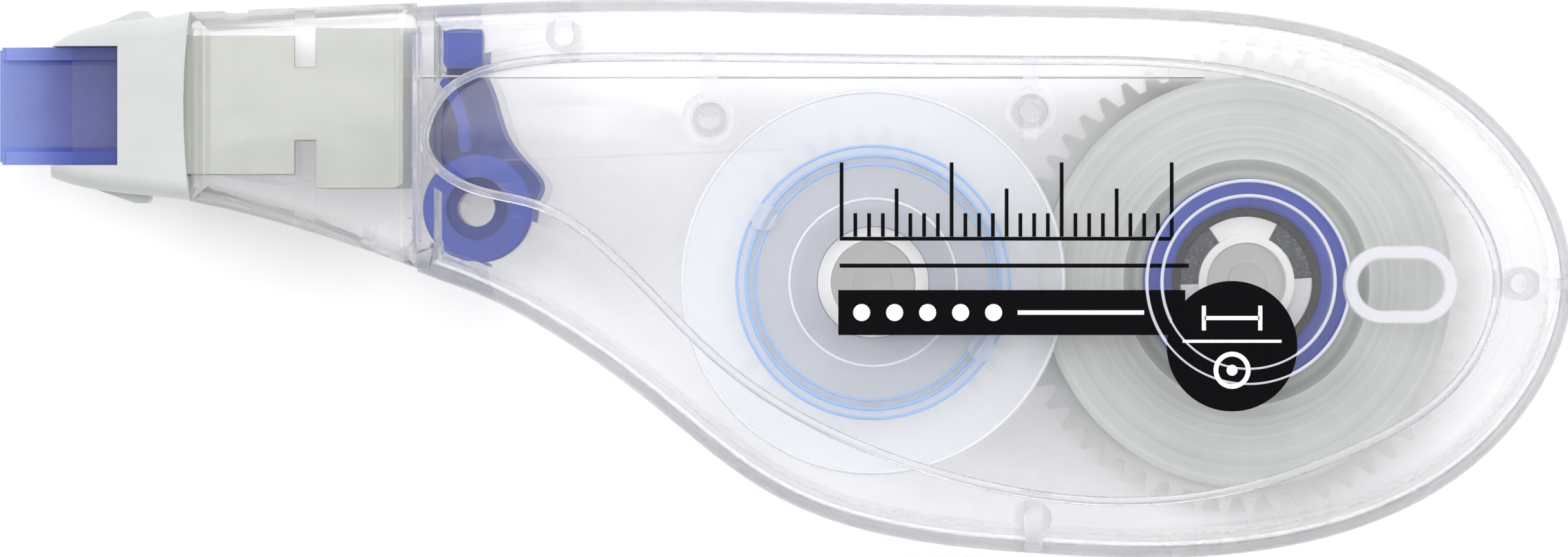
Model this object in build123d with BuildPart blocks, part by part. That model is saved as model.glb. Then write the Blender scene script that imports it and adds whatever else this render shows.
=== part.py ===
from build123d import *
from math import asin, atan2, cos, hypot, radians, sin
import os

os.makedirs("parts", exist_ok=True)

# A side-type correction tape roller lying flat on its rear case.
# The frame's origin is the middle of the footprint on the resting plane.
# +X points to the tail, -X to the head, +Z out of the front case. Millimetres.
# Places in the plan are measured from the supply reel's axis.

# --- driving dimensions -------------------------------------------------------
supply_x = 33.8                 # supply reel's axis, from the footprint's middle
supply_y = -0.3

# tape
tape_width = 6.0
tape_sheet = 0.12               # thickness that the tape runs are drawn with
roll_radius = 15.0              # full roll
leader_radius = 9.0             # end leader, wound first
core_radius = 7.6
core_bore = 5.47

# layers, from the resting plane up
wall = 1.2
panel_step = 0.4                # how far the side panels lie below the rim
layer_gap = 0.6
gear_thickness = 1.7
reel_play = 0.2                 # free height above and below turning pieces
flange_thickness = 0.8

# gears
module = 0.6
supply_teeth = 55
takeup_teeth = 36
backlash = 0.14
pressure_angle = 20

# fits
running_gap = 0.05              # radial, shaft in bore
seat_gap = 0.05                 # pieces that do not move against each other
air_gap = 0.1                   # moving piece beside a still one

# axles and hubs
supply_post_radius = 2.85
takeup_post_radius = 3.05
pin_radius = 1.4
post_shoulder = 1.4             # how far each post's foot stands out under its gear
hub_wall = 0.6
petal_radius = 4.8
petal_half_angle = 31
petal_turn = 93
takeup_hub_radius = 4.05
takeup_collar_radius = 5.46
drum_inner_radius = 8.5
drum_outer_radius = 9.25
liner_radius = 9.95             # liner already wound on the drum
flange_radius = 14.1
knob_radius = 1.0

# return roller
roller_x = -56.2
roller_y = 5.4
roller_flange_radius = 3.95
roller_barrel_radius = 3.3
roller_post_radius = 1.3
roller_boss_radius = 2.25
roller_flange = 0.35

# case in plan
seam_x = -60.5                  # case ends here and the neck sleeve begins
seam_top = 20.15
seam_bottom = 0.75
rim_round = 2.4
lap_wall = 0.55                 # inner lip where the case halves meet
lap_height = 0.9
recess_depth = 2.2              # finger recess, deepest at its pointed end
recess_start_x = -36.0          # the recess runs out here
recess_apex_x = -59.9

# head
head_y = 12.9                   # tape axis in the head
sleeve_front_x = -77.1
sleeve_end_gap = 0.05
sleeve_wall = 1.1
sleeve_front_inset = 1.9        # from the case's faces to the sleeve's, at the front
sleeve_rear_inset = 1.0
tip_nose_x = -91.3
tip_slope_x = -85.9             # the wedge reaches its full thickness here
notch_x = -82.4                 # bottom of the collar's fork
collar_front_x = -87.3
tip_height = 8.6
tip_web_half = 1.5
tip_nose_half = 0.35
tip_flange_half = 2.3
tip_flange_width = 0.95
tip_lug = 0.55
tip_rear_x = -79.3
twist_front_x = -80.0           # the tapes turn from flat to on edge between these
twist_rear_x = -70.5
carrier_half_depth = 4.2        # carrier's half thickness, across the tape
carrier_wall = 0.8
carrier_front_x = -78.6
carrier_rear_x = -61.9
groove_front_x = -69.5
groove_rear_x = -67.9
groove_top_y = 15.65
groove_bottom_y = 10.4
carrier_top_y = 18.0            # front stretch
carrier_bottom_y = 7.9
carrier_rear_top_y = 18.5       # rear stretch
carrier_rear_bottom_y = 6.9
carrier_sill_x = -77.6          # the hollow is open below from here to the rear

# --- worked out from them -----------------------------------------------------
floor_z = panel_step + wall
gear_bottom = floor_z + layer_gap
gear_top = gear_bottom + gear_thickness
tape_bottom = gear_top + layer_gap
tape_top = tape_bottom + tape_width
mid_z = (tape_bottom + tape_top) / 2
thickness = 2 * mid_z
ceiling_z = thickness - floor_z
core_bottom = tape_bottom - reel_play
core_top = tape_top + reel_play
flange_bottom = core_top + reel_play
flange_top = flange_bottom + flange_thickness

supply_pitch = module * supply_teeth / 2
takeup_pitch = module * takeup_teeth / 2
centre_distance = supply_pitch + takeup_pitch
takeup_x = -centre_distance
supply_tip = supply_pitch + module

plan = Plane(origin=(supply_x, supply_y, 0))
takeup_plan = Plane(origin=(supply_x + takeup_x, supply_y, 0))
roller_plan = Plane(origin=(supply_x + roller_x, supply_y + roller_y, 0))
head_side = Plane(
    origin=(supply_x, supply_y + head_y, mid_z), x_dir=(1, 0, 0), z_dir=(0, -1, 0)
)


def polar(angle, radius, x=0.0):
    """Point at an angle and radius around the supply axis, or another x."""
    return (x + radius * cos(radians(angle)), radius * sin(radians(angle)))


# --- case outline, from gear and flange sizes -------------------------------
case_top = [
    (seam_x, seam_top),
    (seam_x + 13.6, seam_top + 0.5),
    (takeup_x, flange_radius + 6.3),
    (takeup_x + 11.7, flange_radius + 6.15),
    polar(105, supply_tip + 3.6),
    polar(76, supply_tip + 2.3),
    polar(44.7, supply_tip + 3.65),
    polar(20, supply_tip + 5.6),
    polar(0, supply_tip + 6.6),
]
case_bottom = [
    polar(0, supply_tip + 6.6),
    polar(-20, supply_tip + 5.6),
    polar(-44.7, supply_tip + 3.7),
    polar(-76, supply_tip + 2.35),
    polar(-105, supply_tip + 3.7),
    polar(-128, supply_tip + 8.0),
    polar(-104.5, flange_radius + 1.9, takeup_x - 3.3),
    polar(-152.5, flange_radius + 4.5, takeup_x),
    (seam_x + 10.6, seam_bottom - 4.95),
    (seam_x + 4.5, seam_bottom - 1.65),
    (seam_x, seam_bottom),
]
panel_top = [
    (recess_apex_x, 11.0),
    (recess_apex_x + 1.9, 14.2),
    (recess_apex_x + 7.0, 16.0),
    (recess_apex_x + 14.0, 16.4),
    (takeup_x + 11.7, flange_radius + 2.05),
    polar(92, supply_tip - 1.75),
    polar(67, supply_tip - 2.35),
    polar(34, supply_tip - 1.2),
    polar(2, supply_tip + 1.0),
]
panel_bottom = [
    polar(2, supply_tip + 1.0),
    polar(-22.5, supply_tip - 0.05),
    polar(-60, supply_tip - 2.8),
    polar(-92, supply_tip - 2.1),
    polar(-117, supply_tip + 0.8),
    polar(-68, flange_radius + 0.9, takeup_x - 0.8),
    (takeup_x - 11.0, -5.9),
    (takeup_x - 18.7, 1.7),
    (recess_apex_x + 7.9, 5.7),
    (recess_apex_x + 2.5, 7.2),
    (recess_apex_x, 11.0),
]

case_outline = case_top + case_bottom[1:]
panel_outline = panel_top + panel_bottom[1:-1]


def beside(line, amount, count, closed=False):
    """Points spread along a curve and moved to its right by an amount."""
    steps = count if closed else count - 1
    points = []
    for step in range(count):
        along = line % (step / steps)
        points.append(line @ (step / steps) + Vector(along.Y, -along.X) * amount)
    return points


def case_face(inset=0.0):
    """The case's outline in plan, drawn in by an inset and then short of the seam."""
    with BuildSketch() as face:
        with BuildLine():
            rim = Spline(*case_outline, tangents=((1, 0.05), (-1, 0.38)), mode=Mode.PRIVATE)
            if inset:
                rim = Spline(*beside(rim, inset, 2 * len(case_outline)))
            else:
                add(rim)
            Line(rim @ 1, rim @ 0)
        make_face()
        if inset:
            with Locations((seam_x, head_y)):
                Rectangle(2 * wall, 4 * flange_radius, mode=Mode.SUBTRACT)
    return face.sketch


def panel_face(outset=0.0):
    """The side panel's outline in plan, grown by an outset."""
    with BuildSketch() as face:
        with BuildLine():
            rim = Spline(*panel_outline, periodic=True, mode=Mode.PRIVATE)
            if outset:
                Spline(*beside(rim, -outset, 2 * len(panel_outline), True), periodic=True)
            else:
                add(rim)
        make_face()
    return face.sketch


# --- whole case body, without its hollow --------------------------------------
with BuildPart() as finger_recess:
    with BuildSketch(plan):
        add(panel_face())
    extrude(amount=thickness)
    with BuildSketch(head_side):
        with BuildLine():
            line = Line((seam_x - 2, recess_depth - mid_z), (recess_apex_x, recess_depth - mid_z))
            slope = Spline(
                line @ 1,
                (recess_start_x, panel_step - mid_z),
                tangents=((1, -0.12), (1, 0)),
            )
            flat = Line(slope @ 1, (supply_tip + 3, panel_step - mid_z))
            Polyline(
                flat @ 1,
                (supply_tip + 3, -mid_z - 1),
                (seam_x - 2, -mid_z - 1),
                line @ 0,
            )
        make_face()
    extrude(amount=2 * flange_radius + 3 * supply_tip, both=True, mode=Mode.INTERSECT)

with BuildPart() as case_solid:
    with BuildSketch(plan):
        add(case_face())
    extrude(amount=thickness)
    rim_edges = (
        case_solid.edges()
        .filter_by(GeomType.BSPLINE)
        .filter_by(lambda e: abs(e.center().Z - mid_z) > mid_z - 0.01)
    )
    fillet(rim_edges, rim_round)
    add(finger_recess.part, mode=Mode.SUBTRACT)
    add(mirror(finger_recess.part, about=Plane.XY.offset(mid_z)), mode=Mode.SUBTRACT)

# the wall that backs the recess stands a wall's thickness inside it
with BuildPart() as recess_back:
    with BuildSketch(plan):
        add(panel_face(wall))
    extrude(amount=thickness)
    with BuildSketch(head_side):
        with BuildLine():
            top_z = recess_depth + wall - mid_z
            line = Line((seam_x - 4, top_z), (recess_apex_x, top_z))
            slope = Spline(
                line @ 1,
                (recess_start_x, panel_step + wall - mid_z),
                tangents=((1, -0.12), (1, 0)),
            )
            flat = Line(slope @ 1, (supply_tip + 5, panel_step + wall - mid_z))
            Polyline(
                flat @ 1,
                (supply_tip + 5, -mid_z - 1),
                (seam_x - 4, -mid_z - 1),
                line @ 0,
            )
        make_face()
    extrude(amount=2 * flange_radius + 3 * supply_tip, both=True, mode=Mode.INTERSECT)

with BuildPart() as case_hollow:
    with BuildSketch(plan.offset(wall)):
        add(case_face(wall))
    extrude(amount=thickness - 2 * wall)
    hollow_edges = case_hollow.edges().group_by(Axis.Z)
    fillet(hollow_edges[0] + hollow_edges[-1], rim_round - wall - 0.2)
    add(recess_back.part, mode=Mode.SUBTRACT)
    add(mirror(recess_back.part, about=Plane.XY.offset(mid_z)), mode=Mode.SUBTRACT)

# opening in the case's front end, for the tape and the sleeve's tongues
end_opening_top = seam_top - wall
end_opening_bottom = seam_bottom + wall
end_opening_half = carrier_half_depth - 0.2
end_opening_depth = wall + 2.2
with BuildPart() as end_opening:
    with BuildSketch(Plane.YZ.offset(supply_x + seam_x - 1)):
        with Locations((supply_y + (end_opening_top + end_opening_bottom) / 2, mid_z)):
            Rectangle(end_opening_top - end_opening_bottom, 2 * end_opening_half)
    extrude(amount=end_opening_depth)

with BuildPart() as case_shell:
    add(case_solid.part)
    add(case_hollow.part, mode=Mode.SUBTRACT)
    add(end_opening.part, mode=Mode.SUBTRACT)

# lip ring along the joint, standing up from the rear half
with BuildPart() as lap_lip:
    with BuildSketch(plan.offset(mid_z)):
        add(case_face(wall - lap_wall))
        add(case_face(wall), mode=Mode.SUBTRACT)
    extrude(amount=lap_height)
    with BuildSketch(plan.offset(mid_z)):
        with Locations((seam_x, head_y - 3)):
            Rectangle(2 * wall + 3.2, 30)
    extrude(amount=lap_height, mode=Mode.SUBTRACT)

# --- rear case ----------------------------------------------------------------
snap_posts = [(-39.2, 11.9), (-15.8, 12.5), (-49.9, 18.0), (20.05, -0.1), (-15.55, -17.2)]
snap_post_radius = 1.25
snap_pin_radius = 0.7

with BuildPart() as rear_fittings:
    with BuildSketch(plan):
        Circle(supply_post_radius)
    extrude(amount=flange_bottom + layer_gap)
    with BuildSketch(plan):
        Circle(supply_post_radius + post_shoulder)
    extrude(amount=gear_bottom - air_gap)
    with BuildSketch(takeup_plan):
        Circle(takeup_post_radius)
    extrude(amount=flange_bottom + layer_gap)
    with BuildSketch(takeup_plan):
        Circle(takeup_post_radius + post_shoulder)
    extrude(amount=gear_bottom - air_gap)
    with BuildSketch(roller_plan):
        Circle(roller_post_radius)
    extrude(amount=tape_top)
    with BuildSketch(plan):
        with Locations(*snap_posts):
            Circle(snap_post_radius)
    extrude(amount=mid_z)
    for post_plan in (plan, takeup_plan):
        with BuildSketch(post_plan.offset(mid_z)):
            Circle(pin_radius + seat_gap)
        extrude(amount=thickness, mode=Mode.SUBTRACT)
    with BuildSketch(plan.offset(floor_z)):
        with Locations(*snap_posts):
            Circle(snap_pin_radius + seat_gap)
    extrude(amount=mid_z, mode=Mode.SUBTRACT)
    add(case_solid.part, mode=Mode.INTERSECT)

with BuildPart() as rear_case:
    add(case_shell.part)
    split(bisect_by=Plane.XY.offset(mid_z), keep=Keep.BOTTOM)
    add(rear_fittings.part)
    add(lap_lip.part)
rear_case.part.label = "rear_case"
export_step(rear_case.part, "parts/rear_case.step")

# --- front case ---------------------------------------------------------------
ring_rib_inner = 6.2
ring_rib_outer = 7.5
bead_width = 1.0
bead_height = 0.3
bead_length = 8.3
bead_breadth = 5.7
bead_x = 11.1
bead_y = -0.2
rib_width = 1.3

with BuildPart() as front_fittings:
    # retaining ring above the supply core
    with BuildSketch(plan.offset(core_top + reel_play)):
        Circle(ring_rib_outer)
        Circle(ring_rib_inner, mode=Mode.SUBTRACT)
    extrude(amount=thickness)
    # centring pins that drop into the two posts
    with BuildSketch(plan.offset(core_bottom + 4)):
        Circle(pin_radius)
    extrude(amount=thickness)
    with BuildSketch(takeup_plan.offset(core_bottom + 4)):
        Circle(pin_radius)
    extrude(amount=thickness)
    # hollow boss that caps the return roller's post
    with BuildSketch(roller_plan.offset(mid_z + 1.5)):
        Circle(roller_boss_radius)
        Circle(roller_post_radius + seat_gap, mode=Mode.SUBTRACT)
    extrude(amount=thickness)
    # snap posts, their pins and stiffening ribs
    with BuildSketch(plan.offset(mid_z)):
        with Locations(*snap_posts):
            Circle(snap_post_radius)
    extrude(amount=thickness)
    with BuildSketch(plan.offset(mid_z - 2.5)):
        with Locations(*snap_posts):
            Circle(snap_pin_radius)
    extrude(amount=thickness)
    with BuildSketch(plan.offset(flange_top + reel_play)):
        with Locations((-39.2, 15.6), (-15.8, 13.9)):
            Rectangle(rib_width, 7.0)
        with Locations((-15.8, 10.4)):
            Circle(rib_width / 2)
        with Locations((-39.2, 11.9)):
            Circle(snap_post_radius + 0.8)
            Circle(snap_post_radius - 0.1, mode=Mode.SUBTRACT)
        with Locations((-15.55, -17.6)):
            Rectangle(rib_width, 3.6)
        with Locations((21.4, -0.1)):
            Rectangle(2.6, 0.8)
    extrude(amount=thickness)
    add(case_solid.part, mode=Mode.INTERSECT)

with BuildPart() as keyhole_bead:
    with BuildSketch(plan.offset(ceiling_z + 0.2)):
        with Locations((bead_x, bead_y)):
            RectangleRounded(bead_length, bead_breadth, bead_breadth / 2 - 0.01)
            RectangleRounded(
                bead_length - 2 * bead_width,
                bead_breadth - 2 * bead_width,
                bead_breadth / 2 - bead_width - 0.01,
                mode=Mode.SUBTRACT,
            )
    extrude(amount=thickness - panel_step + bead_height - ceiling_z - 0.2)
    bead_rim = keyhole_bead.faces().sort_by(Axis.Z)[-1].edges()
    chamfer(bead_rim, 0.12)

with BuildPart() as front_case:
    add(case_shell.part)
    split(bisect_by=Plane.XY.offset(mid_z), keep=Keep.TOP)
    add(front_fittings.part)
    add(keyhole_bead.part)
    # rebate for the rear half's lip
    with BuildSketch(plan.offset(mid_z)):
        add(case_face(wall - lap_wall - seat_gap))
        add(case_face(wall), mode=Mode.SUBTRACT)
        with Locations((seam_x, head_y - 3)):
            Rectangle(2 * wall + 3.2, 30, mode=Mode.SUBTRACT)
    extrude(amount=lap_height + seat_gap, mode=Mode.SUBTRACT)
front_case.part.label = "front_case"
export_step(front_case.part, "parts/front_case.step")

# --- neck sleeve ----------------------------------------------------------------
sleeve_rear_x = seam_x - sleeve_end_gap
passage_half = carrier_half_depth + seat_gap
sleeve_round = 1.6
sleeve_notch_x = -73.75
block_under_rib = 5.6
with BuildPart() as neck_sleeve:
    with BuildSketch(plan):
        with BuildLine():
            Polyline(
                (sleeve_rear_x, seam_bottom + 0.25),
                (sleeve_rear_x, seam_top + 0.25),
                (sleeve_front_x, seam_top - 0.4),
                (sleeve_front_x, seam_bottom + 5.15),
            )
            Spline(
                (sleeve_front_x, seam_bottom + 5.15),
                (-70.1, seam_bottom + 3.45),
                (-64.0, seam_bottom + 1.5),
                (sleeve_rear_x, seam_bottom + 0.25),
            )
        make_face()
    extrude(amount=thickness)
    with BuildSketch(head_side):
        with BuildLine():
            Polyline(
                (sleeve_front_x, sleeve_front_inset - mid_z),
                (sleeve_rear_x, sleeve_rear_inset - mid_z),
                (sleeve_rear_x, mid_z - sleeve_rear_inset),
                (sleeve_front_x, mid_z - sleeve_front_inset),
                close=True,
            )
        make_face()
    extrude(amount=thickness + seam_top, both=True, mode=Mode.INTERSECT)
    long_edges = neck_sleeve.edges().filter_by(lambda e: e.length > 11)
    fillet(long_edges.filter_by(lambda e: abs(e.center().Z - mid_z) > 1), sleeve_round)
    # shallow notch in the top edge
    with BuildSketch(plan):
        with Locations((sleeve_notch_x, seam_top)):
            Trapezoid(2.5, 1.0, 115)
    extrude(amount=thickness, mode=Mode.SUBTRACT)
    # passage for the carrier and the tapes
    with BuildSketch(plan.offset(mid_z - passage_half)):
        with BuildLine():
            Polyline(
                (sleeve_rear_x + 1, carrier_rear_top_y + seat_gap),
                (sleeve_front_x - 1, carrier_rear_top_y + seat_gap),
                (sleeve_front_x - 1, seam_bottom + 5.4 + sleeve_wall),
                (-70.1, seam_bottom + 3.7 + sleeve_wall),
                (sleeve_rear_x + 1, seam_bottom + 0.1 + sleeve_wall),
                close=True,
            )
        make_face()
    extrude(amount=2 * passage_half, mode=Mode.SUBTRACT)
    # ribs that drop into the carrier's grooves
    rib_middle = (groove_front_x + groove_rear_x) / 2
    rib_length = groove_rear_x - groove_front_x - 2 * seat_gap
    rib_bottom = groove_top_y + seat_gap
    rib_top = carrier_rear_top_y + 0.5
    rib_block_y = supply_y + groove_bottom_y - block_under_rib / 2 - seat_gap
    with BuildSketch(plan.offset(mid_z - passage_half)):
        with Locations((rib_middle, (rib_bottom + rib_top) / 2)):
            Rectangle(rib_length, rib_top - rib_bottom)
    extrude(amount=2 * passage_half)
    for side in (-1, 1):
        with BuildSketch(Plane.XY.offset(mid_z + side * passage_half)):
            with Locations((supply_x + rib_middle, rib_block_y)):
                Rectangle(rib_length, block_under_rib)
        extrude(amount=-side * (carrier_wall + 2 * seat_gap))
    # wedge and round post beside the liner's way out
    with BuildSketch(plan.offset(mid_z - passage_half)):
        with BuildLine():
            Polyline((-67.8, 4.9), (-64.4, 4.1), (-64.4, 3.0), (-67.8, 3.9), close=True)
        make_face()
        with Locations((-62.3, 3.4)):
            Circle(1.4)
    extrude(amount=2 * passage_half)
    # tongues that enter the case's end opening
    tongue = 0.65
    for tongue_y in (
        end_opening_top - seat_gap - tongue / 2,
        end_opening_bottom + seat_gap + tongue / 2,
    ):
        with BuildSketch(plan.offset(mid_z - end_opening_half + seat_gap)):
            with Locations((sleeve_rear_x + 0.1, tongue_y)):
                Rectangle(2.2, tongue)
        extrude(amount=2 * (end_opening_half - seat_gap))
neck_sleeve.part.label = "neck_sleeve"
export_step(neck_sleeve.part, "parts/neck_sleeve.step")

# --- head carrier: hollow block that the tapes twist in ------------------------------
with BuildPart() as head_carrier:
    with BuildSketch(plan.offset(mid_z - carrier_half_depth)):
        with BuildLine():
            Polyline(
                (carrier_front_x, carrier_bottom_y),
                (carrier_front_x, carrier_top_y),
                (groove_front_x, carrier_top_y),
                (groove_front_x, groove_top_y),
                (groove_rear_x, groove_top_y),
                (groove_rear_x, carrier_rear_top_y),
                (carrier_rear_x, carrier_rear_top_y),
                (carrier_rear_x, carrier_rear_bottom_y),
                (groove_rear_x, carrier_rear_bottom_y),
                (groove_rear_x, groove_bottom_y),
                (groove_front_x, groove_bottom_y),
                (groove_front_x, carrier_bottom_y),
                close=True,
            )
        make_face()
    extrude(amount=2 * carrier_half_depth)
    upright = head_carrier.edges().filter_by(Axis.Z)
    fillet(upright.group_by(Axis.X)[-1], 0.5)
    # hollow, open to the front, to the rear and downward past the front stretch
    with BuildSketch(plan.offset(mid_z - carrier_half_depth + carrier_wall)):
        with BuildLine():
            Polyline(
                (carrier_front_x - 1, carrier_bottom_y + carrier_wall),
                (carrier_front_x - 1, carrier_top_y - carrier_wall),
                (groove_front_x, carrier_top_y - carrier_wall),
                (carrier_rear_x + 1, carrier_rear_top_y - carrier_wall),
                (carrier_rear_x + 1, carrier_rear_bottom_y - 1),
                (carrier_sill_x, carrier_rear_bottom_y - 1),
                (carrier_sill_x, carrier_bottom_y + carrier_wall),
                close=True,
            )
        make_face()
    extrude(amount=2 * (carrier_half_depth - carrier_wall), mode=Mode.SUBTRACT)
head_carrier.part.label = "head_carrier"
export_step(head_carrier.part, "parts/head_carrier.step")

# --- head collar with the fork for the tip and the cap's snap barbs --------------------
tip_low_y = head_y - tip_height / 2
tip_high_y = head_y + tip_height / 2
collar_rear_x = sleeve_front_x - seat_gap
collar_half_front = 4.6
collar_half_rear = mid_z - sleeve_front_inset
pocket_front_x = carrier_front_x - 0.4
with BuildPart() as head_collar:
    with BuildSketch(plan):
        with BuildLine():
            nose = Line((collar_front_x, tip_low_y - 0.95), (collar_front_x, tip_high_y + 0.1))
            top = Spline(
                nose @ 1,
                (collar_front_x + 2.3, head_y + 5.6),
                (collar_front_x + 6.2, head_y + 6.3),
                (collar_rear_x, head_y + 6.9),
            )
            rear = ThreePointArc(
                top @ 1,
                (collar_rear_x - 0.45, head_y),
                (collar_rear_x, head_y - 6.95),
            )
            Spline(
                rear @ 1,
                (collar_front_x + 6.4, head_y - 6.5),
                (collar_front_x + 3.1, head_y - 6.1),
                nose @ 0,
            )
        make_face()
    extrude(amount=thickness)
    with BuildSketch(head_side):
        with BuildLine():
            Spline(
                (collar_front_x, -collar_half_front),
                (collar_front_x + 5.0, -collar_half_rear + 0.2),
                (collar_rear_x + 0.1, -collar_half_rear),
                tangents=((1, -0.35), (1, 0)),
            )
            Spline(
                (collar_front_x, collar_half_front),
                (collar_front_x + 5.0, collar_half_rear - 0.2),
                (collar_rear_x + 0.1, collar_half_rear),
                tangents=((1, 0.35), (1, 0)),
            )
            Line((collar_front_x, -collar_half_front), (collar_front_x, collar_half_front))
            Line(
                (collar_rear_x + 0.1, -collar_half_rear), (collar_rear_x + 0.1, collar_half_rear)
            )
        make_face()
    extrude(amount=thickness + seam_top, both=True, mode=Mode.INTERSECT)
    body_edges = head_collar.edges().filter_by(lambda e: e.length > 8)
    fillet(body_edges.filter_by(lambda e: abs(e.center().Z - mid_z) > 2), 1.3)
    # barbs that the cap clicks over, above and below
    with BuildSketch(plan.offset(mid_z - 2.1)):
        with BuildLine():
            Polyline(
                (collar_front_x + 2.5, head_y + 4.5),
                (collar_front_x + 2.5, head_y + 5.5),
                (collar_front_x + 6.0, head_y + 6.95),
                (collar_front_x + 6.95, head_y + 6.95),
                (collar_front_x + 7.2, head_y + 6.6),
                (collar_front_x + 7.2, head_y + 4.5),
                close=True,
            )
        make_face()
        with BuildLine():
            Polyline(
                (collar_front_x + 2.7, head_y - 4.9),
                (collar_front_x + 2.7, head_y - 5.95),
                (collar_front_x + 6.0, head_y - 7.1),
                (collar_front_x + 6.9, head_y - 7.1),
                (collar_front_x + 7.1, head_y - 6.8),
                (collar_front_x + 7.1, head_y - 4.9),
                close=True,
            )
        make_face()
    extrude(amount=4.2)
    # fork opening, passage for tip and tapes, room for the tip's lugs, carrier's pocket
    with BuildSketch(plan):
        with Locations(((collar_front_x - 2 + notch_x) / 2, head_y)):
            Rectangle(notch_x - collar_front_x + 2, tip_height + 2 * seat_gap)
    extrude(amount=thickness, mode=Mode.SUBTRACT)
    tip_half_room = tip_flange_half + 0.6
    with BuildSketch(plan.offset(mid_z - tip_half_room)):
        with Locations(((notch_x - 1 + pocket_front_x) / 2, head_y)):
            Rectangle(pocket_front_x - notch_x + 1.2, tip_height + 2 * seat_gap)
        with Locations(((tip_rear_x - 1.2 + pocket_front_x) / 2, head_y)):
            Rectangle(
                pocket_front_x - tip_rear_x + 1.2 + 0.2,
                tip_height + 2 * tip_lug + 2 * seat_gap,
            )
    extrude(amount=2 * tip_half_room, mode=Mode.SUBTRACT)
    with BuildSketch(plan.offset(mid_z - carrier_half_depth - seat_gap)):
        with Locations(
            ((pocket_front_x + collar_rear_x + 1) / 2, (carrier_top_y + carrier_bottom_y) / 2)
        ):
            Rectangle(
                collar_rear_x + 1 - pocket_front_x,
                carrier_top_y - carrier_bottom_y + 2 * seat_gap,
            )
    extrude(amount=2 * (carrier_half_depth + seat_gap), mode=Mode.SUBTRACT)
head_collar.part.label = "head_collar"
export_step(head_collar.part, "parts/head_collar.step")

# --- applicator tip ---------------------------------------------------------------
with BuildPart() as applicator_tip:
    with BuildSketch(head_side):
        with BuildLine():
            Polyline(
                (tip_nose_x + 0.3, -tip_nose_half),
                (tip_slope_x, -tip_web_half),
                (twist_front_x - air_gap, -tip_web_half),
                (twist_front_x - air_gap, tip_web_half),
                (tip_slope_x, tip_web_half),
                (tip_nose_x + 0.3, tip_nose_half),
            )
            ThreePointArc(
                (tip_nose_x + 0.3, tip_nose_half),
                (tip_nose_x, 0),
                (tip_nose_x + 0.3, -tip_nose_half),
            )
        make_face()
    extrude(amount=tip_height / 2 - 0.2, both=True)
    flange_middle = tip_height / 2 - tip_flange_width / 2
    for side in (-1, 1):
        flange_plane = head_side.offset(side * flange_middle)
        with BuildSketch(flange_plane):
            with BuildLine():
                Polyline(
                    (tip_nose_x + 0.5, -tip_nose_half - 0.25),
                    (tip_slope_x, -tip_flange_half),
                    (tip_rear_x, -tip_flange_half),
                    (tip_rear_x, tip_flange_half),
                    (tip_slope_x, tip_flange_half),
                    (tip_nose_x + 0.5, tip_nose_half + 0.25),
                )
                ThreePointArc(
                    (tip_nose_x + 0.5, tip_nose_half + 0.25),
                    (tip_nose_x + 0.15, 0),
                    (tip_nose_x + 0.5, -tip_nose_half - 0.25),
                )
            make_face()
        extrude(amount=tip_flange_width / 2, both=True)
    for side in (-1, 1):
        with BuildSketch(head_side.offset(side * tip_height / 2)):
            with Locations((tip_rear_x - 0.5, 0)):
                Rectangle(1.0, 2 * tip_flange_half)
        extrude(amount=tip_lug, both=True)
applicator_tip.part.label = "applicator_tip"
export_step(applicator_tip.part, "parts/applicator_tip.step")

# --- tape guide --------------------------------------------------------------------
guide_bottom = recess_depth + wall + seat_gap
guide_top = thickness - guide_bottom
guide_plate = 0.5
leg_left_x = -59.65
leg_right_x = -55.86
leg_bottom_y = roll_radius + 0.6
with BuildPart() as tape_guide:
    with BuildSketch(plan.offset(guide_bottom)):
        with BuildLine():
            left = Spline(
                (leg_left_x + 0.6, leg_bottom_y),
                (-59.5, 12.8),
                (-59.6, 9.0),
                (-58.6, 5.0),
            )
            foot = ThreePointArc(left @ 1, (roller_x, roller_y - 2.9), (-53.2, 4.8))
            lobe = Spline(
                foot @ 1,
                (-51.8, 5.9),
                (-51.35, 6.9),
                (-52.2, 8.4),
                (-53.9, 10.6),
                (-54.8, 13.4),
                (leg_right_x, leg_bottom_y),
            )
            Line(lobe @ 1, left @ 0)
        make_face()
        with Locations((roller_x, roller_y)):
            Circle(roller_post_radius + seat_gap, mode=Mode.SUBTRACT)
        with Locations((-54.6, 7.5)):
            SlotOverall(1.5, 0.6, rotation=-25, mode=Mode.SUBTRACT)
    extrude(amount=guide_plate)
    # leg above the tape, from the floor to the ceiling of the case
    with BuildSketch(plan.offset(guide_bottom)):
        with BuildLine():
            Polyline(
                (leg_left_x + 0.6, leg_bottom_y),
                (leg_left_x + 0.6, 18.4),
                (leg_right_x, 18.4),
                (leg_right_x, leg_bottom_y),
                close=True,
            )
        make_face()
    extrude(amount=guide_top - guide_bottom)
    leg_foot = tape_guide.edges().filter_by(Axis.Z).filter_by(
        lambda e: e.length > 3 and e.center().Y < supply_y + leg_bottom_y + 0.1
    )
    fillet(leg_foot, 0.8)
    # curved wall under the tape
    with BuildSketch(plan.offset(guide_bottom + guide_plate - 0.1)):
        with BuildLine():
            left = ThreePointArc((-58.95, 14.4), (-57.8, 12.2), (-57.5, 9.9))
            foot = ThreePointArc(left @ 1, (-57.1, 9.5), (-56.7, 9.9))
            right = ThreePointArc(foot @ 1, (-57.0, 12.4), (-58.25, 14.8))
            ThreePointArc(right @ 1, (-58.75, 14.85), left @ 0)
        make_face()
    extrude(amount=tape_top - guide_bottom)
tape_guide.part.label = "tape_guide"
export_step(tape_guide.part, "parts/tape_guide.step")

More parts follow.
